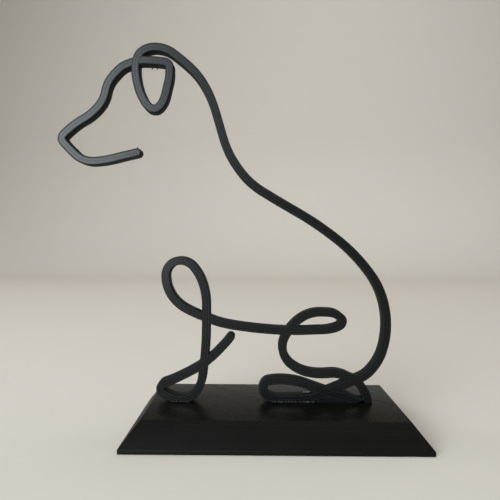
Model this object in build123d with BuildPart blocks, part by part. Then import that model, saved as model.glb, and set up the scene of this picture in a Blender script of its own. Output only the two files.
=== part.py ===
"""A sitting dog drawn in one line, printed in one piece and glued by its feet to a sloped plinth.

+X runs from the muzzle to the haunch, -Y is the front, +Z is up.
The origin is the middle of the plinth's underside. All sizes are in millimetres.
"""

import os
from math import radians, sqrt, tan

from build123d import *

# The figure
figure_height = 211.0  # the 100 squares of the drawing grid, from the plinth's top to the crown
line_width = 5.0  # the pen stroke, seen from the front
line_depth = 7.5  # how thick the figure is printed, front to back
line_edge_bevel = 0.5  # bevel of the front edges
crossing_round = 0.5  # rounding of the inner corners where the line crosses itself

# The plinth
plinth_length = 144.0  # its top face
plinth_depth = 72.0
plinth_height = 14.6
plinth_lip = 2.4  # the upright band at the foot of the slopes
plinth_slope_run = 9.8  # how far each slope leads outwards

# The tabs under the feet and their sockets
tab_drop = 3.0
paw_tab_length = 7.0
foot_tab_length = 24.0
tab_inset = 0.6  # the tab is thinner than the figure by this on the front and on the back
socket_clearance = 0.2  # between a tab and its socket, on each side

# The glue that has come out at the feet
paw_bead_size = 1.3
paw_bead_length = 11.0
foot_bead_size = 1.6
foot_bead_length = 26.0
drop_size = 1.3
drop_length = 5.0

grid = figure_height / 100

# The line: mark, x and height on the grid, and the heading of the pen in degrees, with 0 to the
# right and 90 up. It is drawn in lengths that don't cross themselves, each from where the last ended.
JAW_TO_EAR = [
    ("jaw tip", -38.3, 69.7, 194),
    ("jaw", -44.4, 68.2, 195),
    ("chin", -55.7, 69.2, 136),
    ("lip", -58.0, 71.5, 132),
    ("nose", -59.3, 73.6, 90),
    ("top of the nose", -57.9, 75.6, 43),
    ("stop", -49.1, 82.5, 50),
    ("brow", -45.1, 90.9, 49),
    ("forehead", -41.6, 93.9, 25),
    ("ear root", -36.1, 95.2, 2),
    ("ear fold", -30.1, 94.0, 310),
    ("back of the ear", -29.3, 91.5, 271),
    ("low back of the ear", -30.2, 86.8, 258),
    ("flap of the ear", -31.5, 83.3, 237),
    ("ear tip", -33.6, 81.8, 180),
]
EAR_TO_TOES = [
    JAW_TO_EAR[-1],
    ("front of the ear", -36.0, 83.5, 124),
    ("head crossing", -38.8, 92.7, 93),
    ("rise of the crown", -36.3, 98.2, 28),
    ("crown", -33.4, 98.9, 0),
    ("nape", -23.8, 93.6, 318),
    ("neck", -16.6, 81.6, 287),
    ("withers", -11.4, 67.4, 302),
    ("shoulder", -5.9, 60.9, 321),
    ("back", -0.4, 57.3, 329),
    ("middle of the back", 7.0, 53.0, 330),
    ("hip", 27.1, 36.0, 306),
    ("rump", 31.6, 21.8, 270),
    ("buttock", 28.2, 10.1, 233),
    ("hock", 25.0, 7.2, 208),
    ("hock crossing", 22.0, 5.9, 204),
    ("sole", 5.7, 0.9, 180),
    ("under the toes", 1.7, 0.8, 180),
    ("toes", -2.9, 3.9, 90),
    ("top of the toes", 2.1, 6.2, 0),
]
TOES_TO_HEEL = [
    EAR_TO_TOES[-1],
    ("instep", 17.2, 2.3, 344),
    ("back of the sole", 20.9, 1.4, 338),
    ("under the heel", 23.6, 0.3, 350),
    ("inside the heel", 26.0, 0.1, 0),
]
HEEL_TO_HIP = [
    ("heel", 26.6, -2.0, 90),
    ("back of the heel", 25.4, 3.4, 122),
    ("top of the heel", 23.5, 5.8, 144),
    ("thigh crossing", 20.6, 7.2, 153),
    ("under the thigh", 10.4, 8.2, 171),
    ("front of the thigh", 2.5, 15.6, 90),
    ("belly crossing", 4.2, 20.1, 57),
    ("top of the hip loop", 13.7, 25.2, 0),
]
HIP_TO_KNEE = [
    HEEL_TO_HIP[-1],
    ("back of the hip loop", 17.8, 24.5, 328),
    ("under the hip loop", 16.5, 21.0, 195),
    ("back of the belly", 10.0, 20.2, 183),
    ("belly", -7.1, 20.9, 173),
    ("front of the belly", -15.2, 22.3, 165),
    ("knee crossing", -19.4, 23.8, 160),
    ("front of the knee", -28.5, 29.6, 125),
    ("knee", -30.3, 35.4, 90),
    ("top of the knee", -26.2, 39.6, 0),
]
KNEE_TO_PAW = [
    HIP_TO_KNEE[-1],
    ("top of the foreleg", -20.4, 34.5, 293),
    ("foreleg", -18.9, 27.0, 270),
    ("pastern", -19.4, 12.0, 264),
    ("back of the paw", -21.6, 2.8, 235),
    ("under the paw", -30.0, 1.7, 151),
    ("front of the paw", -31.7, 3.5, 90),
]
PAW_TO_TIP = [
    KNEE_TO_PAW[-1],
    ("toe of the paw", -31.0, 4.9, 38),
    ("top of the paw", -29.0, 5.7, 23),
    ("raised foreleg", -15.8, 14.0, 46),
    ("foreleg tip", -12.5, 17.6, 49),
]
sole_left = 8.0 * grid
sole_right = 22.0 * grid
sole_top = 1.9 * grid
paw_x = -25.9 * grid  # the middle of the paw's flat
foot_x = 12.0 * grid  # the middle of the hind foot's flat
foot_bead_x = 5.6 * grid
drop_x = 9.6 * grid  # the crotch of the toe loop
drop_z = 2.5 * grid

drawing = Plane(origin=(0, 0, plinth_height), x_dir=(1, 0, 0), z_dir=(0, -1, 0))
half_depth = line_depth / 2


def bend(start, heading, end):
    """One piece of the stroke from start to end that leaves start along heading."""
    chord = end - start
    if abs(heading.cross(chord.normalized()).Z) < 1e-4:
        return Line(start, end)
    return TangentArc(start, end, tangent=heading)


def stroke(marks):
    """The stroke's centreline: each two marks are joined by a pair of arcs tangent to both headings."""
    for (_, x0, z0, turn0), (_, x1, z1, turn1) in zip(marks, marks[1:]):
        start = Vector(x0, z0) * grid
        end = Vector(x1, z1) * grid
        leave = Vector(1, 0).rotate(Axis.Z, turn0)
        arrive = Vector(1, 0).rotate(Axis.Z, turn1)
        chord = end - start
        lead = chord.dot(leave + arrive)
        spread = 2 * (1 - leave.dot(arrive))
        reach = chord.dot(chord) / (lead + sqrt(lead * lead + spread * chord.dot(chord)))
        meet = (start + leave * reach + end - arrive * reach) / 2
        first = bend(start, leave, meet)
        bend(meet, first % 1, end)


def strand(marks, starts_round=False, ends_round=False):
    """A length of the line as a flat face. Its ends are square where the line goes on."""
    with BuildLine() as centre:
        stroke(marks)
    arcs = centre.edges().sort_by(centre.wires()[0])
    corners = []
    with BuildLine() as outline:
        for side in (-line_width / 2, line_width / 2):
            corner = arcs[0] @ 0 + (arcs[0] % 0).rotate(Axis.Z, 90) * side
            corners.append(corner)
            for arc in arcs:
                middle = arc @ 0.5 + (arc % 0.5).rotate(Axis.Z, 90) * side
                end = arc @ 1 + (arc % 1).rotate(Axis.Z, 90) * side
                if arc.geom_type == GeomType.LINE:
                    Line(corner, end)
                else:
                    ThreePointArc(corner, middle, end)
                corner = end
            corners.append(corner)
        for near, far, is_round, out in (
            (0, 2, starts_round, -(arcs[0] % 0)),
            (1, 3, ends_round, arcs[-1] % 1),
        ):
            if is_round:
                tip = (corners[near] + corners[far]) / 2 + out * (line_width / 2)
                ThreePointArc(corners[near], tip, corners[far])
            else:
                Line(corners[near], corners[far])
    return make_face(outline.edges(), mode=Mode.PRIVATE)


def corners(face):
    """The face's corners off its foot line: the point, the turn in degrees and the shorter neighbour."""
    found = []
    for wire in [face.outer_wire(), *face.inner_wires()]:
        for point in wire.vertices():
            here = Vector(*point)
            sides = [edge for edge in wire.edges() if min((edge @ 0 - here).length, (edge @ 1 - here).length) < 1e-4]
            away = [edge % 0 if (edge @ 0 - here).length < 1e-4 else -(edge % 1) for edge in sides]
            turn = 180 - away[0].get_angle(away[1])
            if turn > 1 and here.Y > 1e-3:
                found.append((here, turn, min(edge.length for edge in sides)))
    return found


def soften(face):
    """The face with its corners rounded, each as far as its neighbours leave room."""
    for here, turn, shorter in corners(face):
        size = min(crossing_round, 0.7 * shorter * tan(radians(90 - turn / 2)))
        corner = [point for point in face.vertices() if (Vector(*point) - here).length < 1e-4]
        face = face.fillet_2d(size, corner)
    return face


with BuildSketch() as drawn:
    add(strand(JAW_TO_EAR, starts_round=True))
    add(strand(EAR_TO_TOES))
    add(strand(TOES_TO_HEEL))
    add(strand(HEEL_TO_HIP))
    add(strand(HIP_TO_KNEE))
    add(strand(KNEE_TO_PAW))
    add(strand(PAW_TO_TIP, ends_round=True))
    # The sole closes the gap under the crossing of the foot
    with Locations(((sole_left + sole_right) / 2, sole_top)):
        Rectangle(sole_right - sole_left, 2 * line_width, align=(Align.CENTER, Align.MAX))
    # The feet are flat where they stand on the plinth
    Rectangle(2 * figure_height, figure_height, align=(Align.CENTER, Align.MAX), mode=Mode.SUBTRACT)

with BuildPart() as dog_line:
    with BuildSketch(drawing):
        add(soften(drawn.sketch.faces()[0]))
    extrude(amount=half_depth, both=True)
    front = dog_line.faces().sort_by(Axis.Y)[0]
    rim = front.edges().filter_by(lambda edge: (edge @ 0.5).Z > plinth_height + 1e-3)
    chamfer(rim, length=line_edge_bevel)
    # The tabs that drop into the plinth
    with BuildSketch(Plane.XY.offset(plinth_height)):
        with Locations((paw_x, 0)):
            Rectangle(paw_tab_length, line_depth - 2 * tab_inset)
        with Locations((foot_x, 0)):
            Rectangle(foot_tab_length, line_depth - 2 * tab_inset)
    extrude(amount=-tab_drop)
dog_line.part.label = "dog_line"

with BuildPart() as plinth:
    with BuildSketch():
        Rectangle(plinth_length + 2 * plinth_slope_run, plinth_depth + 2 * plinth_slope_run)
    extrude(amount=plinth_lip)
    with BuildSketch(Plane.XY.offset(plinth_lip)):
        Rectangle(plinth_length + 2 * plinth_slope_run, plinth_depth + 2 * plinth_slope_run)
    with BuildSketch(Plane.XY.offset(plinth_height)):
        Rectangle(plinth_length, plinth_depth)
    loft()
    with BuildSketch(Plane.XY.offset(plinth_height)):
        with Locations((paw_x, 0)):
            Rectangle(
                paw_tab_length + 2 * socket_clearance,
                line_depth - 2 * tab_inset + 2 * socket_clearance,
            )
        with Locations((foot_x, 0)):
            Rectangle(
                foot_tab_length + 2 * socket_clearance,
                line_depth - 2 * tab_inset + 2 * socket_clearance,
            )
    extrude(amount=-tab_drop - socket_clearance, mode=Mode.SUBTRACT)
plinth.part.label = "plinth"


def rope(middle, size, length):
    """Set glue as a rope with round ends, of radius size, along X."""
    with BuildSketch(Plane.XZ) as half:
        SlotOverall(length, 2 * size)
        with Locations((0, -size)):
            Rectangle(length, 2 * size, mode=Mode.SUBTRACT)
    whole = revolve(half.sketch, axis=Axis.X, mode=Mode.PRIVATE)
    add(whole.moved(Location(middle)))


with BuildPart() as front_paw_glue:
    rope((paw_x, -half_depth, plinth_height), paw_bead_size, paw_bead_length)
    add(dog_line.part, mode=Mode.SUBTRACT)
    split(bisect_by=Plane.XY.offset(plinth_height), keep=Keep.TOP)
front_paw_glue.part.label = "front_paw_glue"

with BuildPart() as rear_foot_glue:
    rope((foot_bead_x, -half_depth, plinth_height), foot_bead_size, foot_bead_length)
    add(dog_line.part, mode=Mode.SUBTRACT)
    split(bisect_by=Plane.XY.offset(plinth_height), keep=Keep.TOP)
rear_foot_glue.part.label = "rear_foot_glue"

with BuildPart() as toe_loop_glue:
    rope((drop_x, 0, plinth_height + drop_z), drop_size, drop_length)
    add(dog_line.part, mode=Mode.SUBTRACT)
toe_loop_glue.part.label = "toe_loop_glue"

os.makedirs("parts", exist_ok=True)
export_step(dog_line.part, "parts/dog_line.step")
export_step(plinth.part, "parts/plinth.step")
export_step(front_paw_glue.part, "parts/front_paw_glue.step")
export_step(rear_foot_glue.part, "parts/rear_foot_glue.step")
export_step(toe_loop_glue.part, "parts/toe_loop_glue.step")
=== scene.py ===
"""Looks, stage and camera for the one-line dog on its plinth.

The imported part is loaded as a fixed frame, and the pieces here are made to its places and sizes.
The figure and the plinth are black printed plastic, with set glue at the feet.
Everything is in metres, with +X from the muzzle to the haunch, -Y to the front and +Z up.
"""

import cmath
import math
import random

import bmesh
import bpy
from bpy.props import FloatProperty, FloatVectorProperty, PointerProperty
from mathutils import Matrix, Vector


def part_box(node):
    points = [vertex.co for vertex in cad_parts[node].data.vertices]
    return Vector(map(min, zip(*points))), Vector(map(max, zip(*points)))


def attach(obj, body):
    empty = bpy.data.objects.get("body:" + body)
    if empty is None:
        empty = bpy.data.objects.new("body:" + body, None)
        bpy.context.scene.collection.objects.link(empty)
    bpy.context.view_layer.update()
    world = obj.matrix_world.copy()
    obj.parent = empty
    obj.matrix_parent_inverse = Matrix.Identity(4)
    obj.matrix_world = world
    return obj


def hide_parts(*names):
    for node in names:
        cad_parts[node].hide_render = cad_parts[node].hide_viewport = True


bl_info = {
    "name": "One-line dog on a plinth",
    "version": (1, 0, 0),
    "blender": (4, 5, 0),
    "location": "3D View > Sidebar > One-line dog",
    "description": "Dresses the printed one-line dog, its plinth and its glue, and sets the stage",
    "category": "Object",
}

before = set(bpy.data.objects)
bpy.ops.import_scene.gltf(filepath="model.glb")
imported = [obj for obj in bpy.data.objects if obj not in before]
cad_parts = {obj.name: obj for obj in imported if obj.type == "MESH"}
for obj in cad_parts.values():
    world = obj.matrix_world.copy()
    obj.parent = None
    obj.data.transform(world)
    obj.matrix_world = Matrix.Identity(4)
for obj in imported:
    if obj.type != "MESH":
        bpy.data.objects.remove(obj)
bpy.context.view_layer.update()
MM = 0.001

# Texture scales of the filament: clouds of tone, fine grain and the cells that may hold a speck of dust
CLOUD_SCALE = 45.0
GRAIN_SCALE = 1400.0
DUST_SCALE = 420.0
# The size of a speck in its cell, and the share of cells that hold none
DUST_SIZE = 0.13
CLEAN_SHARE = 0.72
DUST_COLOR = (0.12, 0.118, 0.11, 1.0)
# How far the tone of clouds, beads and grooves moves, as shares of the filament's colour; the darker grooves
# between beads are painted shade
CLOUD_CONTRAST = 0.5
BEAD_CONTRAST = 0.3
GROOVE_PAINTED_SHADE = 0.6
DUST_ROUGHNESS = 0.4
# How fast printed beads sway from their straight course, and how much of one bump shows
SWAY_SCALE = 60.0
BEAD_STRENGTH = 0.8
# A face of the figure counts as the front or the back where its normal points this far along Y; the rest are
# walls, whose lighter, bluish colour is painted sheen
FACING = 0.99
# A face of the plinth is part of its top where its normal points this far up
UPWARD = 0.98
# Half the width of the camera's view over the distance to it
VIEW_SLOPE = 25 / 53


# The drawn line: x and height on the drawing grid, and the heading in degrees, 0 to the right and 90 up
DRAWN_LINE = (
    # jaw tip, jaw, chin, lip and nose
    (-38.3, 69.7, 194),
    (-44.4, 68.2, 195),
    (-55.7, 69.2, 136),
    (-58.0, 71.5, 132),
    (-59.3, 73.6, 90),
    # top of the nose, stop, brow and forehead
    (-57.9, 75.6, 43),
    (-49.1, 82.5, 50),
    (-45.1, 90.9, 49),
    (-41.6, 93.9, 25),
    # the ear, from its root round its tip
    (-36.1, 95.25, 358),
    (-30.7, 94.8, 350),
    (-29.3, 93.4, 271),
    (-29.3, 91.5, 267),
    (-30.2, 86.8, 258),
    (-31.5, 83.3, 237),
    (-33.6, 81.8, 180),
    (-36.0, 83.5, 124),
    # crown, nape, back and rump
    (-38.8, 92.7, 93),
    (-36.3, 98.2, 28),
    (-33.4, 98.9, 0),
    (-23.8, 93.6, 318),
    (-16.6, 81.6, 287),
    (-11.4, 67.4, 302),
    (-5.9, 60.9, 321),
    (-0.4, 57.3, 329),
    (7.0, 53.0, 330),
    (27.1, 36.0, 306),
    (31.6, 21.8, 270),
    (28.2, 10.1, 233),
    # hock, sole and toes
    (25.0, 7.2, 208),
    (22.0, 5.9, 204),
    (5.7, 0.9, 180),
    (1.7, 0.8, 180),
    (-2.9, 3.9, 90),
    (2.1, 6.2, 0),
    # instep and heel
    (17.2, 2.3, 344),
    (20.9, 1.4, 338),
    (23.6, 0.3, 350),
    (26.0, 0.1, 0),
)
DRAWN_LEG = (
    # heel and thigh
    (26.6, -2.0, 90),
    (25.4, 3.4, 122),
    (23.5, 5.8, 144),
    (20.6, 7.2, 153),
    (10.4, 8.2, 171),
    (2.5, 15.6, 90),
    (4.2, 20.1, 57),
    # the hip loop and the belly
    (13.1, 25.3, 0),
    (18.0, 24.4, 325),
    (19.25, 22.7, 262),
    (16.8, 20.8, 195),
    (10.0, 20.2, 183),
    (-7.1, 20.9, 173),
    (-15.2, 22.3, 165),
    # the knee loop and the foreleg
    (-19.4, 23.8, 160),
    (-28.5, 29.6, 125),
    (-30.3, 35.4, 90),
    (-26.2, 39.6, 0),
    (-20.4, 34.5, 293),
    (-18.9, 27.0, 270),
    (-19.4, 12.0, 264),
    # the paw and the free end
    (-21.6, 2.8, 235),
    (-30.0, 1.7, 151),
    (-31.7, 3.5, 90),
    (-31.0, 4.9, 38),
    (-29.0, 5.7, 23),
    (-15.8, 14.0, 46),
    (-12.05, 18.25, 54),
)
SOLE_FILL = ((8.0, 0.7, 0), (22.0, 0.7, 0))
# Where the nozzle has left a burr: x and height on the grid, y and the burr's radius in millimetres
BURRS = (
    # jaw tip and ear root
    (-38.1, 71.0, -3.2, 0.35),
    (-35.7, 94.5, -3.6, 0.28),
    (-35.0, 94.6, -3.6, 0.22),
    # inside the ear
    (-34.6, 93.75, 2.8, 0.45),
    (-33.2, 93.7, 3.0, 0.4),
    (-36.9, 88.0, 2.5, 0.35),
    (-36.2, 85.3, 2.5, 0.35),
    (-34.5, 83.1, 1.0, 0.35),
    (-33.1, 83.1, 0.5, 0.3),
    # nape, foreleg and thigh
    (-27.3, 95.15, 3.0, 0.4),
    (-21.9, 7.75, -1.0, 0.35),
    (3.55, 15.8, -3.0, 0.3),
)


# ---------------------------------------------------------------- settings


class OneLineFigureSettings(bpy.types.PropertyGroup):
    """Sizes and colours of the printed figure."""

    color: FloatVectorProperty(
        name="Filament",
        description="Colour of the black filament",
        subtype="COLOR",
        size=3,
        min=0.0,
        max=1.0,
        default=(0.0050, 0.0052, 0.0052),
    )
    # The walls' colour is lighter and bluer than the front's as painted sheen; it is the same filament
    wall_sheen_color: FloatVectorProperty(
        name="Walls",
        description="Colour of the filament at the walls, where the layers show",
        subtype="COLOR",
        size=3,
        min=0.0,
        max=1.0,
        default=(0.0085, 0.0118, 0.0118),
    )
    height: FloatProperty(
        name="Height",
        description="The 100 squares of the drawing grid, above the plinth",
        unit="LENGTH",
        default=211.0 * MM,
    )
    line_width: FloatProperty(
        name="Line width",
        description="Width of the drawn line from the front",
        unit="LENGTH",
        default=5.0 * MM,
    )
    edge_round: FloatProperty(
        name="Front edge",
        description="Rounding of the figure's front edges",
        unit="LENGTH",
        default=0.6 * MM,
    )
    back_edge: FloatProperty(
        name="Back edge",
        description="Rounding of the edges that lay on the print bed",
        unit="LENGTH",
        default=0.25 * MM,
    )
    sink: FloatProperty(
        name="Sink",
        description="How far each face lies back at the jaw, so that later strands cross above",
        unit="LENGTH",
        default=0.12 * MM,
    )
    wall_line: FloatProperty(
        name="Wall line",
        description="Width of one printed wall line on the front",
        unit="LENGTH",
        default=0.85 * MM,
    )
    layer: FloatProperty(
        name="Layer",
        description="Height of one printed layer",
        unit="LENGTH",
        default=0.3 * MM,
    )


class OneLinePlinthSettings(bpy.types.PropertyGroup):
    """Sizes and colours of the printed plinth."""

    color: FloatVectorProperty(
        name="Filament",
        description="Colour of the plinth's filament",
        subtype="COLOR",
        size=3,
        min=0.0,
        max=1.0,
        default=(0.0060, 0.0060, 0.0050),
    )
    edge_round: FloatProperty(
        name="Edge",
        description="Rounding of the plinth's outer edges",
        unit="LENGTH",
        default=0.35 * MM,
    )
    streak: FloatProperty(
        name="Streak",
        description="Width of one printed line of the top face",
        unit="LENGTH",
        default=0.6 * MM,
    )
    layer: FloatProperty(
        name="Layer",
        description="Height of one printed layer",
        unit="LENGTH",
        default=0.3 * MM,
    )


class OneLineGlueSettings(bpy.types.PropertyGroup):
    """Look of the glue at the feet."""

    color: FloatVectorProperty(
        name="Glue",
        description="Colour of the set glue over black plastic",
        subtype="COLOR",
        size=3,
        min=0.0,
        max=1.0,
        default=(0.0085, 0.0082, 0.0075),
    )
    # The drop's colour is lighter than the glue's as a painted highlight
    drop_color: FloatVectorProperty(
        name="Drop",
        description="Colour of the cloudy drop in the toe loop",
        subtype="COLOR",
        size=3,
        min=0.0,
        max=1.0,
        default=(0.06, 0.063, 0.06),
    )
    lumps: FloatProperty(
        name="Lumps",
        description="How much smaller the smallest blob is than the largest",
        subtype="FACTOR",
        min=0.0,
        max=0.8,
        default=0.5,
    )


class OneLineStageSettings(bpy.types.PropertyGroup):
    """Floor, lamps and camera."""

    floor_color: FloatVectorProperty(
        name="Floor",
        description="Colour of the floor and the backdrop",
        subtype="COLOR",
        size=3,
        min=0.0,
        max=1.0,
        default=(0.62, 0.58, 0.52),
    )
    camera_place: FloatVectorProperty(
        name="Camera place",
        description="Where the camera stands",
        subtype="TRANSLATION",
        unit="LENGTH",
        size=3,
        default=(-0.01168, -0.31508, 0.11029),
    )
    camera_yaw: FloatProperty(
        name="Yaw",
        description="Turn of the camera to the right",
        unit="ROTATION",
        subtype="ANGLE",
        default=-0.0080,
    )
    camera_tilt: FloatProperty(
        name="Tilt",
        description="Tilt of the camera towards the floor",
        unit="ROTATION",
        subtype="ANGLE",
        default=0.0183,
    )
    camera_roll: FloatProperty(
        name="Roll",
        description="Roll of the camera about its line of sight",
        unit="ROTATION",
        subtype="ANGLE",
        default=-0.0045,
    )
    camera_field: FloatProperty(
        name="Field",
        description="The camera's field of view",
        unit="ROTATION",
        subtype="ANGLE",
        default=2 * math.atan(VIEW_SLOPE),
    )


# ---------------------------------------------------------------- node helpers


def new_group(name, inputs, outputs):
    """A shader node group with named sockets, and its two end nodes."""
    group = bpy.data.node_groups.new(name, "ShaderNodeTree")
    for label, kind, value in inputs:
        socket = group.interface.new_socket(label, in_out="INPUT", socket_type=kind)
        if value is not None:
            socket.default_value = value
    for label, kind in outputs:
        group.interface.new_socket(label, in_out="OUTPUT", socket_type=kind)
    entry = group.nodes.new("NodeGroupInput")
    leave = group.nodes.new("NodeGroupOutput")
    return group, entry, leave


def math_node(tree, operation, first, second=None, clamp=False):
    """A Math node. Each value is a socket or a number."""
    node = tree.nodes.new("ShaderNodeMath")
    node.operation = operation
    node.use_clamp = clamp
    for slot, value in enumerate((first, second)):
        if value is None:
            continue
        if isinstance(value, (int, float)):
            node.inputs[slot].default_value = value
        else:
            tree.links.new(value, node.inputs[slot])
    return node.outputs[0]


def place_group(tree, group, **values):
    """The group as a node in tree. Each value is a socket, a number or a colour."""
    node = tree.nodes.new("ShaderNodeGroup")
    node.node_tree = group
    for label, value in values.items():
        socket = node.inputs[label.replace("_", " ")]
        if isinstance(value, bpy.types.NodeSocket):
            tree.links.new(value, socket)
        else:
            socket.default_value = value
    return node


def printed_bead_group():
    """Rounded beads side by side along one coordinate, as a printer lays them.

    Height is 1 in the middle of a bead, Groove is 1 between two, and Bead tone is a chance value per bead.
    """
    if "Printed beads" in bpy.data.node_groups:
        return bpy.data.node_groups["Printed beads"]
    group, entry, leave = new_group(
        "Printed beads",
        [
            ("Across", "NodeSocketFloat", 0.0),
            ("Pitch", "NodeSocketFloat", 0.0004),
            ("Vector", "NodeSocketVector", None),
            ("Waver", "NodeSocketFloat", 0.15),
        ],
        [("Height", "NodeSocketFloat"), ("Groove", "NodeSocketFloat"), ("Bead tone", "NodeSocketFloat")],
    )
    noise = group.nodes.new("ShaderNodeTexNoise")
    noise.inputs["Scale"].default_value = SWAY_SCALE
    noise.inputs["Detail"].default_value = 2.0
    group.links.new(entry.outputs["Vector"], noise.inputs["Vector"])
    sway = math_node(group, "SUBTRACT", noise.outputs["Fac"], 0.5)
    waver = math_node(group, "MULTIPLY", sway, entry.outputs["Waver"])
    count = math_node(group, "DIVIDE", entry.outputs["Across"], entry.outputs["Pitch"])
    count = math_node(group, "ADD", math_node(group, "ADD", count, 0.5), waver)
    share = math_node(group, "FRACT", count)
    off_centre = math_node(group, "ABSOLUTE", math_node(group, "SUBTRACT", share, 0.5))
    doubled = math_node(group, "MULTIPLY", off_centre, 2.0)
    squared = math_node(group, "POWER", doubled, 2.0)
    height = math_node(group, "SUBTRACT", 1.0, squared)
    groove = math_node(group, "POWER", doubled, 6.0)
    tone = group.nodes.new("ShaderNodeTexWhiteNoise")
    tone.noise_dimensions = "1D"
    group.links.new(math_node(group, "FLOOR", count), tone.inputs["W"])
    group.links.new(height, leave.inputs["Height"])
    group.links.new(groove, leave.inputs["Groove"])
    group.links.new(tone.outputs["Value"], leave.inputs["Bead tone"])
    return group


def filament_group():
    """The slightly uneven tone and gloss of black filament, with painted shade in the grooves between beads.
    """
    if "Filament tone" in bpy.data.node_groups:
        return bpy.data.node_groups["Filament tone"]
    group, entry, leave = new_group(
        "Filament tone",
        [
            ("Vector", "NodeSocketVector", None),
            ("Color", "NodeSocketColor", (0.012, 0.012, 0.012, 1.0)),
            ("Dust", "NodeSocketFloat", 0.2),
            ("Roughness", "NodeSocketFloat", 0.4),
            ("Spread", "NodeSocketFloat", 0.08),
            ("Bead tone", "NodeSocketFloat", 0.5),
            ("Bead gloss", "NodeSocketFloat", 0.0),
            ("Groove", "NodeSocketFloat", 0.0),
        ],
        [("Color", "NodeSocketColor"), ("Roughness", "NodeSocketFloat")],
    )
    cloud = group.nodes.new("ShaderNodeTexNoise")
    cloud.inputs["Scale"].default_value = CLOUD_SCALE
    cloud.inputs["Detail"].default_value = 4.0
    grain = group.nodes.new("ShaderNodeTexNoise")
    grain.inputs["Scale"].default_value = GRAIN_SCALE
    grain.inputs["Detail"].default_value = 3.0
    dust = group.nodes.new("ShaderNodeTexVoronoi")
    dust.inputs["Scale"].default_value = DUST_SCALE
    for texture in (cloud, grain, dust):
        group.links.new(entry.outputs["Vector"], texture.inputs["Vector"])

    # Specks of dust in a few of the cells
    speck = math_node(group, "LESS_THAN", dust.outputs["Distance"], DUST_SIZE)
    chance = group.nodes.new("ShaderNodeSeparateColor")
    group.links.new(dust.outputs["Color"], chance.inputs["Color"])
    dusty = math_node(group, "GREATER_THAN", chance.outputs[0], CLEAN_SHARE)
    speck = math_node(group, "MULTIPLY", speck, dusty)
    speck = math_node(group, "MULTIPLY", speck, entry.outputs["Dust"])

    # The colour, a little lighter or darker by cloud and by bead, with painted shade in the grooves
    brightness = math_node(group, "MULTIPLY", cloud.outputs["Fac"], CLOUD_CONTRAST)
    brightness = math_node(group, "ADD", brightness, 1 - CLOUD_CONTRAST / 2)
    bead = math_node(group, "MULTIPLY", entry.outputs["Bead tone"], BEAD_CONTRAST)
    bead = math_node(group, "ADD", bead, 1 - BEAD_CONTRAST / 2)
    brightness = math_node(group, "MULTIPLY", brightness, bead)
    groove = math_node(group, "MULTIPLY", entry.outputs["Groove"], GROOVE_PAINTED_SHADE)
    brightness = math_node(group, "MULTIPLY", brightness, math_node(group, "SUBTRACT", 1.0, groove))
    toned = group.nodes.new("ShaderNodeVectorMath")
    toned.operation = "SCALE"
    group.links.new(entry.outputs["Color"], toned.inputs[0])
    group.links.new(brightness, toned.inputs["Scale"])
    mix = group.nodes.new("ShaderNodeMix")
    mix.data_type = "RGBA"
    group.links.new(speck, mix.inputs["Factor"])
    group.links.new(toned.outputs[0], mix.inputs[6])
    mix.inputs[7].default_value = DUST_COLOR

    # The roughness, uneven by grain and by bead, and rougher on dust
    spread = math_node(group, "SUBTRACT", grain.outputs["Fac"], 0.5)
    spread = math_node(group, "MULTIPLY", spread, entry.outputs["Spread"])
    rough = math_node(group, "ADD", entry.outputs["Roughness"], spread)
    gloss = math_node(group, "SUBTRACT", entry.outputs["Bead tone"], 0.5)
    gloss = math_node(group, "MULTIPLY", gloss, entry.outputs["Bead gloss"])
    rough = math_node(group, "ADD", rough, gloss)
    rough = math_node(group, "ADD", rough, math_node(group, "MULTIPLY", speck, DUST_ROUGHNESS), clamp=True)
    group.links.new(mix.outputs[2], leave.inputs["Color"])
    group.links.new(rough, leave.inputs["Roughness"])
    return group


def new_material(name, ior_level, color):
    """An empty Principled material with its coordinates."""
    material = bpy.data.materials.new(name)
    material.use_nodes = True
    material.diffuse_color = (*color, 1.0)
    tree = material.node_tree
    shader = tree.nodes["Principled BSDF"]
    shader.inputs["Specular IOR Level"].default_value = ior_level
    place = tree.nodes.new("ShaderNodeTexCoord").outputs["Object"]
    return material, tree, shader, place


def attribute_value(tree, name):
    """The value of a mesh attribute."""
    node = tree.nodes.new("ShaderNodeAttribute")
    node.attribute_name = name
    return node.outputs["Fac"]


def axis_value(tree, place, axis):
    """One coordinate of a place."""
    split = tree.nodes.new("ShaderNodeSeparateXYZ")
    tree.links.new(place, split.inputs[0])
    return split.outputs[axis]


def bump(tree, shader, height, depth, strength):
    """A Bump node on the shader, with its depth in metres."""
    node = tree.nodes.new("ShaderNodeBump")
    node.inputs["Distance"].default_value = depth
    node.inputs["Strength"].default_value = strength
    tree.links.new(height, node.inputs["Height"])
    tree.links.new(node.outputs["Normal"], shader.inputs["Normal"])


# ---------------------------------------------------------------- materials


def round_the_section(tree, place):
    """The distance from the middle of the front face, round the line's section."""
    return attribute_value(tree, "around")


def from_the_bed(tree, place):
    """The height above the print bed, on which the figure lay on its back."""
    return axis_value(tree, place, "Y")


def up_the_plinth(tree, place):
    """The height in the plinth, which was printed upright."""
    return axis_value(tree, place, "Z")


def slanting(tree, place):
    """The distance across the lines of the plinth's top face, which run at 45 degrees."""
    both = math_node(tree, "ADD", axis_value(tree, place, "X"), axis_value(tree, place, "Y"))
    return math_node(tree, "MULTIPLY", both, math.sqrt(0.5))


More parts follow.
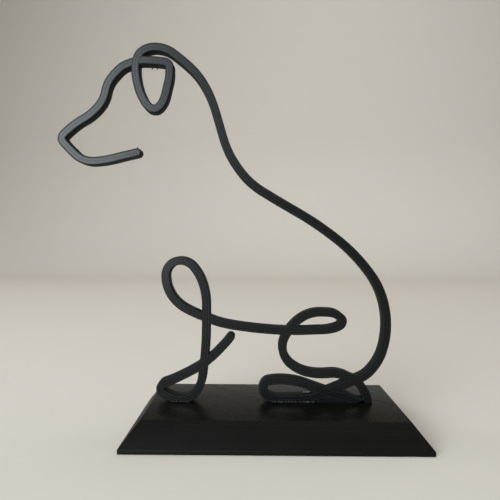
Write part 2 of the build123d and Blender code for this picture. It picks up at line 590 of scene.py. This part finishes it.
def printed_plastic(name, color, gloss, roughness, across, pitch, depth, waver=0.1, dust=0.1, contrast=0.12):
    """Black filament laid in beads side by side.

    Across gives the coordinate that counts the beads, pitch their width and depth the height of one.
    Waver is their sway, dust how far specks show, and contrast how much the beads differ in gloss.
    """
    material, tree, shader, place = new_material(name, gloss, color)
    lines = place_group(
        tree, printed_bead_group(), Across=across(tree, place), Pitch=pitch, Vector=place, Waver=waver
    )
    tone = place_group(
        tree,
        filament_group(),
        Vector=place,
        Color=(*color, 1.0),
        Dust=dust,
        Roughness=roughness,
        Spread=0.12,
        Bead_tone=lines.outputs["Bead tone"],
        Bead_gloss=contrast,
        Groove=lines.outputs["Groove"],
    )
    tree.links.new(tone.outputs["Color"], shader.inputs["Base Color"])
    tree.links.new(tone.outputs["Roughness"], shader.inputs["Roughness"])
    bump(tree, shader, lines.outputs["Height"], depth, BEAD_STRENGTH)
    return material


def set_glue(name, color):
    """Glue that has set over black plastic: glossy and lumpy, in the colour given; the drop's lighter colour
    is a painted highlight.
    """
    material, tree, shader, place = new_material(name, 0.2, color)
    tone = place_group(
        tree,
        filament_group(),
        Vector=place,
        Color=(*color, 1.0),
        Dust=0.5,
        Roughness=0.3,
        Spread=0.2,
    )
    tree.links.new(tone.outputs["Color"], shader.inputs["Base Color"])
    tree.links.new(tone.outputs["Roughness"], shader.inputs["Roughness"])
    grain = tree.nodes.new("ShaderNodeTexNoise")
    grain.inputs["Scale"].default_value = 900.0
    grain.inputs["Detail"].default_value = 3.0
    tree.links.new(place, grain.inputs["Vector"])
    bump(tree, shader, grain.outputs["Fac"], depth=0.25 * MM, strength=0.7)
    return material


def studio_surface(name, color):
    """Plain matt paint for the floor and the backdrop."""
    material, tree, shader, place = new_material(name, 0.1, color)
    noise = tree.nodes.new("ShaderNodeTexNoise")
    noise.inputs["Scale"].default_value = 3.0
    tree.links.new(place, noise.inputs["Vector"])
    mix = tree.nodes.new("ShaderNodeMix")
    mix.data_type = "RGBA"
    mix.inputs[6].default_value = (*[channel * 0.985 for channel in color], 1.0)
    mix.inputs[7].default_value = (*[channel * 1.015 for channel in color], 1.0)
    tree.links.new(noise.outputs["Fac"], mix.inputs["Factor"])
    tree.links.new(mix.outputs[2], shader.inputs["Base Color"])
    shader.inputs["Roughness"].default_value = 0.9
    return material


# ---------------------------------------------------------------- meshes


def merged_copy(node):
    """A CAD node's mesh as a new bmesh with its loose triangles joined up."""
    mesh = bmesh.new()
    mesh.from_mesh(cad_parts[node].data)
    bmesh.ops.remove_doubles(mesh, verts=mesh.verts, dist=1e-7)
    return mesh


def corner_edges(mesh, least_angle):
    """The edges where two faces meet at more than an angle in degrees."""
    limit = math.radians(least_angle)
    return [edge for edge in mesh.edges if len(edge.link_faces) == 2 and edge.calc_face_angle(0.0) > limit]


def finish_piece(mesh, name, materials, node, smooth_angle=35):
    """The bmesh as an object that rides on the part in place of a CAD node."""
    limit = math.radians(smooth_angle)
    for face in mesh.faces:
        face.smooth = True
    for edge in mesh.edges:
        if len(edge.link_faces) == 2 and edge.calc_face_angle(0.0) > limit:
            edge.smooth = False
    data = bpy.data.meshes.new(name)
    mesh.to_mesh(data)
    mesh.free()
    for material in materials:
        data.materials.append(material)
    piece = bpy.data.objects.new(name, data)
    bpy.context.scene.collection.objects.link(piece)
    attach(piece, "root")
    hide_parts(node)


def arcs_of(marks, grid):
    """The line through the marks as arcs: start, heading, turn and length, with x and height as one number.

    Each two marks are joined by a pair of arcs that are tangent to both headings.
    """
    arcs = []
    for (x0, z0, turn0), (x1, z1, turn1) in zip(marks, marks[1:]):
        start, end = complex(x0, z0) * grid, complex(x1, z1) * grid
        leave, arrive = cmath.rect(1, math.radians(turn0)), cmath.rect(1, math.radians(turn1))
        chord = end - start
        lead = (chord.conjugate() * (leave + arrive)).real
        spread = 2 * (1 - (leave.conjugate() * arrive).real)
        reach = abs(chord) ** 2 / (lead + math.sqrt(lead * lead + spread * abs(chord) ** 2))
        meet = (start + leave * reach + end - arrive * reach) / 2
        heading = leave
        for near, far in ((start, meet), (meet, end)):
            half = cmath.phase((far - near) / heading)
            length = abs(far - near) * (half / math.sin(half) if abs(half) > 1e-6 else 1)
            arcs.append((near, heading, 2 * half, length))
            heading *= cmath.rect(1, 2 * half)
    return arcs


def line_section(width, front, back, front_round, back_round):
    """Half of the line's section, from the middle of the front round to the middle of the back."""
    front_steps = 5
    back_steps = 2
    half = width / 2
    flat = half - front_round
    # The last flat point is close to the rounding, so that the flat face is shaded flat
    points = [(0.0, front), (0.5 * flat, front), (0.95 * flat, front)]
    for step in range(front_steps + 1):
        angle = math.radians(90) * step / front_steps
        across = flat + front_round * math.sin(angle)
        points.append((across, front + front_round - front_round * math.cos(angle)))
    points.append((half, (front + back) / 2))
    for step in range(back_steps + 1):
        angle = math.radians(90) * step / back_steps
        across = half - back_round + back_round * math.cos(angle)
        points.append((across, back - back_round + back_round * math.sin(angle)))
    points.append((0.45 * half, back))
    points.append((0.0, back))
    return points


class LineSweep:
    """Draws the line's section along arcs, one short step at a time.

    Where the line crosses itself, one strand's skin passes through the other's.
    Each vertex keeps how far along the line it is, and how far round the section from the front's middle.
    """

    longest_turn = math.radians(5)
    longest_step = 2.2 * MM
    cap_steps = 14

    def __init__(self, settings, depth, floor):
        self.mesh = bmesh.new()
        self.along = self.mesh.verts.layers.float.new("along")
        self.around = self.mesh.verts.layers.float.new("around")
        self.section = line_section(
            settings.line_width, -depth, depth, settings.edge_round, settings.back_edge
        )
        self.floor = floor
        self.travelled = 0.0

    def point(self, place, y):
        """A place on the drawing as a point of the part."""
        return Vector((place.real, y, place.imag + self.floor))

    def start(self, place, heading):
        """The closed loop of the section at the start of a length. Its first half is on the left."""
        loops = []
        for side in (1, -1):
            run, distance, last = [], 0.0, None
            for across, y in self.section:
                if last is not None:
                    distance += math.hypot(across - last[0], y - last[1])
                last = (across, y)
                if side < 0 and across == 0.0:
                    run.append(loops[0][0] if y < 0 else loops[0][-1])
                    continue
                vert = self.mesh.verts.new(self.point(place + 1j * heading * across * side, y))
                vert[self.around] = distance
                vert[self.along] = self.travelled
                run.append(vert)
            loops.append(run)
        edges = [self.mesh.edges.new(pair) for run in loops for pair in zip(run, run[1:])]
        left = loops[0] + edges[: len(loops[0]) - 1]
        return left, loops[0] + loops[1][1:-1] + edges

    def cap(self, left, place, turn):
        """A round end: the left half of the section turned about its middle."""
        bmesh.ops.spin(
            self.mesh,
            geom=left,
            cent=self.point(place, 0.0),
            axis=(0.0, -1.0, 0.0),
            angle=turn,
            steps=self.cap_steps,
            use_merge=False,
            use_duplicate=False,
        )

    def draw(self, loop, arcs):
        """Moves the loop along the arcs and leaves a skin behind."""
        for place, heading, turn, length in arcs:
            steps = max(math.ceil(abs(turn) / self.longest_turn), math.ceil(length / self.longest_step))
            for step in range(steps):
                if abs(turn) > 1e-5:
                    centre = place + 1j * heading * length / turn
                    made = bmesh.ops.spin(
                        self.mesh,
                        geom=loop,
                        cent=self.point(centre, 0.0),
                        axis=(0.0, -1.0, 0.0),
                        angle=turn / steps,
                        steps=1,
                        use_merge=False,
                        use_duplicate=False,
                    )
                    loop = made["geom_last"]
                else:
                    edges = [item for item in loop if isinstance(item, bmesh.types.BMEdge)]
                    made = bmesh.ops.extrude_edge_only(self.mesh, edges=edges)
                    verts = [item for item in made["geom"] if isinstance(item, bmesh.types.BMVert)]
                    moved = heading * length / steps
                    bmesh.ops.translate(self.mesh, verts=verts, vec=(moved.real, 0.0, moved.imag))
                    loop = verts + [item for item in made["geom"] if isinstance(item, bmesh.types.BMEdge)]
                self.travelled += length / steps
                for item in loop:
                    if isinstance(item, bmesh.types.BMVert):
                        item[self.along] = self.travelled
        return loop

    def left_half(self, loop, place, heading):
        """The loop's vertices and edges on the left of the heading, with the two in the middle."""
        side = self.point(place + 1j * heading, 0.0) - self.point(place, 0.0)
        middle = self.point(place, 0.0)
        verts = [item for item in loop if isinstance(item, bmesh.types.BMVert)]
        verts = [vert for vert in verts if (vert.co - middle).dot(side) > -1e-7]
        kept = set(verts)
        edges = [
            item
            for item in loop
            if isinstance(item, bmesh.types.BMEdge) and item.verts[0] in kept and item.verts[1] in kept
        ]
        return verts + edges


class ONELINE_OT_figure(bpy.types.Operator):
    """Makes the printed figure, with rounded front edges and printed lines that follow it"""

    bl_idname = "oneline.figure"
    bl_label = "Printed figure"

    def execute(self, context):
        settings = context.scene.oneline_figure
        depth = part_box("dog_line")[1].y
        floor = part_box("plinth")[1].z
        grid = settings.height / 100
        sweep = LineSweep(settings, depth, floor)
        for marks, round_start, round_end in (
            (SOLE_FILL, False, False),
            (DRAWN_LINE, True, False),
            (DRAWN_LEG, False, True),
        ):
            arcs = arcs_of(marks, grid)
            left, loop = sweep.start(arcs[0][0], arcs[0][1])
            if round_start:
                sweep.cap(left, arcs[0][0], math.pi)
            loop = sweep.draw(loop, arcs)
            if round_end:
                x, height, turn = marks[-1]
                place, heading = complex(x, height) * grid, cmath.rect(1, math.radians(turn))
                sweep.cap(sweep.left_half(loop, place, heading), place, -math.pi)
        mesh = sweep.mesh
        bmesh.ops.remove_doubles(mesh, verts=mesh.verts, dist=1e-6)
        bmesh.ops.dissolve_degenerate(mesh, dist=1e-7, edges=mesh.edges)
        for vert in mesh.verts:
            vert.co.y *= 1 - settings.sink / depth * (1 - vert[sweep.along] / sweep.travelled)
        # The figure ends at the plinth's top, because its tabs are hidden in the sockets
        everything = mesh.verts[:] + mesh.edges[:] + mesh.faces[:]
        bmesh.ops.bisect_plane(
            mesh, geom=everything, plane_co=(0.0, 0.0, floor), plane_no=(0.0, 0.0, 1.0), clear_inner=True
        )
        bmesh.ops.holes_fill(mesh, edges=[edge for edge in mesh.edges if edge.is_boundary], sides=0)
        for x, height, y, radius in BURRS:
            middle = Matrix.Translation(sweep.point(complex(x, height) * grid, y * MM))
            bmesh.ops.create_icosphere(mesh, subdivisions=2, radius=radius * MM, matrix=middle)
        bmesh.ops.recalc_face_normals(mesh, faces=mesh.faces)
        for face in mesh.faces:
            # Walls take their own material, whose lighter, bluish colour is painted sheen
            face.material_index = 0 if abs(face.normal.y) > FACING else 1
        front = printed_plastic(
            "Figure plastic, front",
            settings.color,
            gloss=0.17,
            roughness=0.31,
            across=round_the_section,
            pitch=settings.wall_line,
            depth=0.012 * MM,
            contrast=0.17,
        )
        # The walls' lighter, bluish colour is painted sheen
        wall = printed_plastic(
            "Figure plastic, walls with painted sheen",
            settings.wall_sheen_color,
            gloss=0.03,
            roughness=0.55,
            across=from_the_bed,
            pitch=settings.layer,
            depth=0.03 * MM,
        )
        finish_piece(mesh, "printed_figure", [front, wall], "dog_line")
        return {"FINISHED"}


class ONELINE_OT_plinth(bpy.types.Operator):
    """Makes the plinth, with slightly rounded edges and a finer top face"""

    bl_idname = "oneline.plinth"
    bl_label = "Plinth"

    def execute(self, context):
        settings = context.scene.oneline_plinth
        mesh = merged_copy("plinth")
        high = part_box("plinth")[1]
        bmesh.ops.dissolve_limit(mesh, angle_limit=math.radians(1), verts=mesh.verts, edges=mesh.edges)
        # Edges far from the middle: the outer ones, and the hidden far end of the front socket
        outer = [
            edge
            for edge in corner_edges(mesh, 15)
            if all(abs(vert.co.y) > high.y * 0.7 or abs(vert.co.x) > high.x * 0.7 for vert in edge.verts)
        ]
        bmesh.ops.bevel(
            mesh,
            geom=outer,
            offset=settings.edge_round,
            offset_type="OFFSET",
            affect="EDGES",
            segments=3,
            profile=0.5,
            material=-1,
        )
        for face in mesh.faces:
            face.material_index = 0 if face.normal.z > UPWARD else 1
        top = printed_plastic(
            "Plinth plastic, top",
            settings.color,
            gloss=0.027,
            roughness=0.3,
            across=slanting,
            pitch=settings.streak,
            depth=0.005 * MM,
            waver=0.3,
            dust=0.2,
        )
        side = printed_plastic(
            "Plinth plastic, sides",
            settings.color,
            gloss=0.05,
            roughness=0.45,
            across=up_the_plinth,
            pitch=settings.layer,
            depth=0.03 * MM,
        )
        finish_piece(mesh, "printed_plinth", [top, side], "plinth", smooth_angle=20)
        return {"FINISHED"}


class ONELINE_OT_glue(bpy.types.Operator):
    """Makes the beads and the drop of glue, each from a row of blobs that have run together"""

    bl_idname = "oneline.glue"
    bl_label = "Glue"

    def execute(self, context):
        settings = context.scene.oneline_glue
        clear = set_glue("Set glue", settings.color)
        # The drop in the toe loop is lighter in colour as a painted highlight
        highlighted = set_glue("Glue with painted highlight", settings.drop_color)
        for node, material, lumps in (
            ("front_paw_glue", clear, settings.lumps),
            ("rear_foot_glue", clear, settings.lumps),
            ("toe_loop_glue", highlighted, settings.lumps / 2),
        ):
            mesh = self.blobs(*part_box(node), lumps)
            finish_piece(mesh, node + "_skin", [material], node, smooth_angle=50)
        return {"FINISHED"}

    def blobs(self, low, high, lumps):
        """Flat-bottomed blobs of uneven size, side by side along X, that stay in the box of the bead."""
        mesh = bmesh.new()
        size = high - low
        chance = random.Random(round(size.x / MM))
        middle = low.x
        while middle < high.x:
            share = 1 - lumps * chance.random()
            # A full blob is as deep as the bead, and goes a little below its flat bottom
            half = Vector((size.z * 0.6 * share, size.y * 0.5 * share, size.z * 0.6 * share))
            middle = min(max(middle, low.x + half.x), high.x - half.x)
            drop = size.z * (1 - share) * chance.random()
            centre = Vector((middle, high.y - half.y, high.z - half.z - drop))
            shape = Matrix.Translation(centre) @ Matrix.Diagonal((*half, 1.0))
            bmesh.ops.create_icosphere(mesh, subdivisions=3, radius=1.0, matrix=shape)
            if middle + half.x >= high.x - 1e-6:
                break
            middle += half.x * chance.uniform(0.7, 1.3)
        for vert in mesh.verts:
            vert.co.z = max(vert.co.z, low.z)
        return mesh


class ONELINE_OT_stage(bpy.types.Operator):
    """Sets the floor, the backdrop, the lamps and the camera"""

    bl_idname = "oneline.stage"
    bl_label = "Stage"

    def execute(self, context):
        settings = context.scene.oneline_stage
        scene = context.scene
        scene.view_settings.view_transform = "Standard"
        self.floor(settings)
        self.lamps(scene)
        self.camera(scene, settings)
        return {"FINISHED"}

    def floor(self, settings):
        """A floor that rises into a backdrop behind the object."""
        mesh = bmesh.new()
        steps = 16
        radius = 0.5
        back = 1.2
        reach = 3.0
        height = 3.5
        profile = [Vector((-reach, -reach, 0.0)), Vector((-reach, back, 0.0))]
        for step in range(1, steps + 1):
            angle = math.radians(90) * step / steps
            rise = radius - radius * math.cos(angle)
            profile.append(Vector((-reach, back + radius * math.sin(angle), rise)))
        profile.append(Vector((-reach, back + radius, height)))
        verts = [mesh.verts.new(point) for point in profile]
        edges = [mesh.edges.new(pair) for pair in zip(verts, verts[1:])]
        made = bmesh.ops.extrude_edge_only(mesh, edges=edges)
        moved = [item for item in made["geom"] if isinstance(item, bmesh.types.BMVert)]
        bmesh.ops.translate(mesh, verts=moved, vec=(2 * reach, 0.0, 0.0))
        bmesh.ops.recalc_face_normals(mesh, faces=mesh.faces)
        for face in mesh.faces:
            face.smooth = True
        if mesh.faces[:][0].normal.z < 0:
            bmesh.ops.reverse_faces(mesh, faces=mesh.faces)
        data = bpy.data.meshes.new("studio_floor")
        mesh.to_mesh(data)
        mesh.free()
        data.materials.append(studio_surface("Studio floor", settings.floor_color))
        floor = bpy.data.objects.new("studio_floor", data)
        bpy.context.scene.collection.objects.link(floor)

    def lamps(self, scene):
        """A soft lamp in front on the left, one at the side, one overhead and a plain sky.

        The front lamp's beam is narrow, in degrees, so that the floor under it stays evenly lit.
        """
        for name, place, target, size, spread, power, color in (
            ("front_lamp", (-0.79, -1.3, 0.42), (-0.08, 0.0, 0.16), (1.0, 0.8), 80.0, 9.2, (0.86, 0.95, 1.0)),
            ("side_lamp", (-1.5, 0.5, 0.9), (0.0, 0.0, 0.1), (0.8, 0.8), 180.0, 6.0, (1.0, 0.99, 0.96)),
            ("top_lamp", (0.4, 0.6, 1.9), (0.0, 0.2, 0.0), (1.4, 1.4), 180.0, 16.0, (1.0, 0.97, 0.93)),
        ):
            lamp = bpy.data.lights.new(name, "AREA")
            lamp.shape = "RECTANGLE"
            lamp.size, lamp.size_y = size
            lamp.spread = math.radians(spread)
            lamp.energy = power
            lamp.color = color
            holder = bpy.data.objects.new(name, lamp)
            holder.location = place
            aim = Vector(target) - Vector(place)
            holder.rotation_euler = aim.to_track_quat("-Z", "Y").to_euler()
            bpy.context.scene.collection.objects.link(holder)
        world = bpy.data.worlds.new("Studio sky")
        world.use_nodes = True
        background = world.node_tree.nodes["Background"]
        background.inputs["Color"].default_value = (0.9, 0.92, 0.95, 1.0)
        background.inputs["Strength"].default_value = 0.32
        scene.world = world

    def camera(self, scene, settings):
        """The camera stands low in front, close to the figure."""
        lens = bpy.data.cameras.new("view")
        lens.sensor_fit = "HORIZONTAL"
        lens.angle = settings.camera_field
        lens.clip_start = 0.01
        camera = bpy.data.objects.new("view", lens)
        turn = Matrix.Rotation(-settings.camera_yaw, 4, "Z")
        tilt = Matrix.Rotation(math.radians(90) - settings.camera_tilt, 4, "X")
        roll = Matrix.Rotation(-settings.camera_roll, 4, "Z")
        camera.matrix_world = Matrix.Translation(settings.camera_place) @ turn @ tilt @ roll
        scene.collection.objects.link(camera)
        scene.camera = camera


class ONELINE_PT_panel(bpy.types.Panel):
    """The pieces of the one-line dog and its stage"""

    bl_idname = "ONELINE_PT_panel"
    bl_label = "One-line dog"
    bl_space_type = "VIEW_3D"
    bl_region_type = "UI"
    bl_category = "One-line dog"

    def draw(self, context):
        layout = self.layout
        for group, fields, operator in PANEL_ROWS:
            box = layout.box()
            settings = getattr(context.scene, group)
            for field in fields:
                box.prop(settings, field)
            box.operator(operator)


PANEL_ROWS = (
    (
        "oneline_figure",
        (
            "color",
            "wall_sheen_color",
            "height",
            "line_width",
            "edge_round",
            "back_edge",
            "sink",
            "wall_line",
            "layer",
        ),
        "oneline.figure",
    ),
    ("oneline_plinth", ("color", "edge_round", "streak", "layer"), "oneline.plinth"),
    ("oneline_glue", ("color", "drop_color", "lumps"), "oneline.glue"),
    (
        "oneline_stage",
        ("floor_color", "camera_place", "camera_yaw", "camera_tilt", "camera_roll", "camera_field"),
        "oneline.stage",
    ),
)
CLASSES = (
    OneLineFigureSettings,
    OneLinePlinthSettings,
    OneLineGlueSettings,
    OneLineStageSettings,
    ONELINE_OT_figure,
    ONELINE_OT_plinth,
    ONELINE_OT_glue,
    ONELINE_OT_stage,
    ONELINE_PT_panel,
)


def register():
    for cls in CLASSES:
        bpy.utils.register_class(cls)
    bpy.types.Scene.oneline_figure = PointerProperty(type=OneLineFigureSettings)
    bpy.types.Scene.oneline_plinth = PointerProperty(type=OneLinePlinthSettings)
    bpy.types.Scene.oneline_glue = PointerProperty(type=OneLineGlueSettings)
    bpy.types.Scene.oneline_stage = PointerProperty(type=OneLineStageSettings)


def unregister():
    del bpy.types.Scene.oneline_stage
    del bpy.types.Scene.oneline_glue
    del bpy.types.Scene.oneline_plinth
    del bpy.types.Scene.oneline_figure
    for cls in reversed(CLASSES):
        bpy.utils.unregister_class(cls)


def main():
    register()
    bpy.ops.oneline.figure()
    bpy.ops.oneline.plinth()
    bpy.ops.oneline.glue()
    bpy.ops.oneline.stage()


if __name__ == "__main__":
    main()
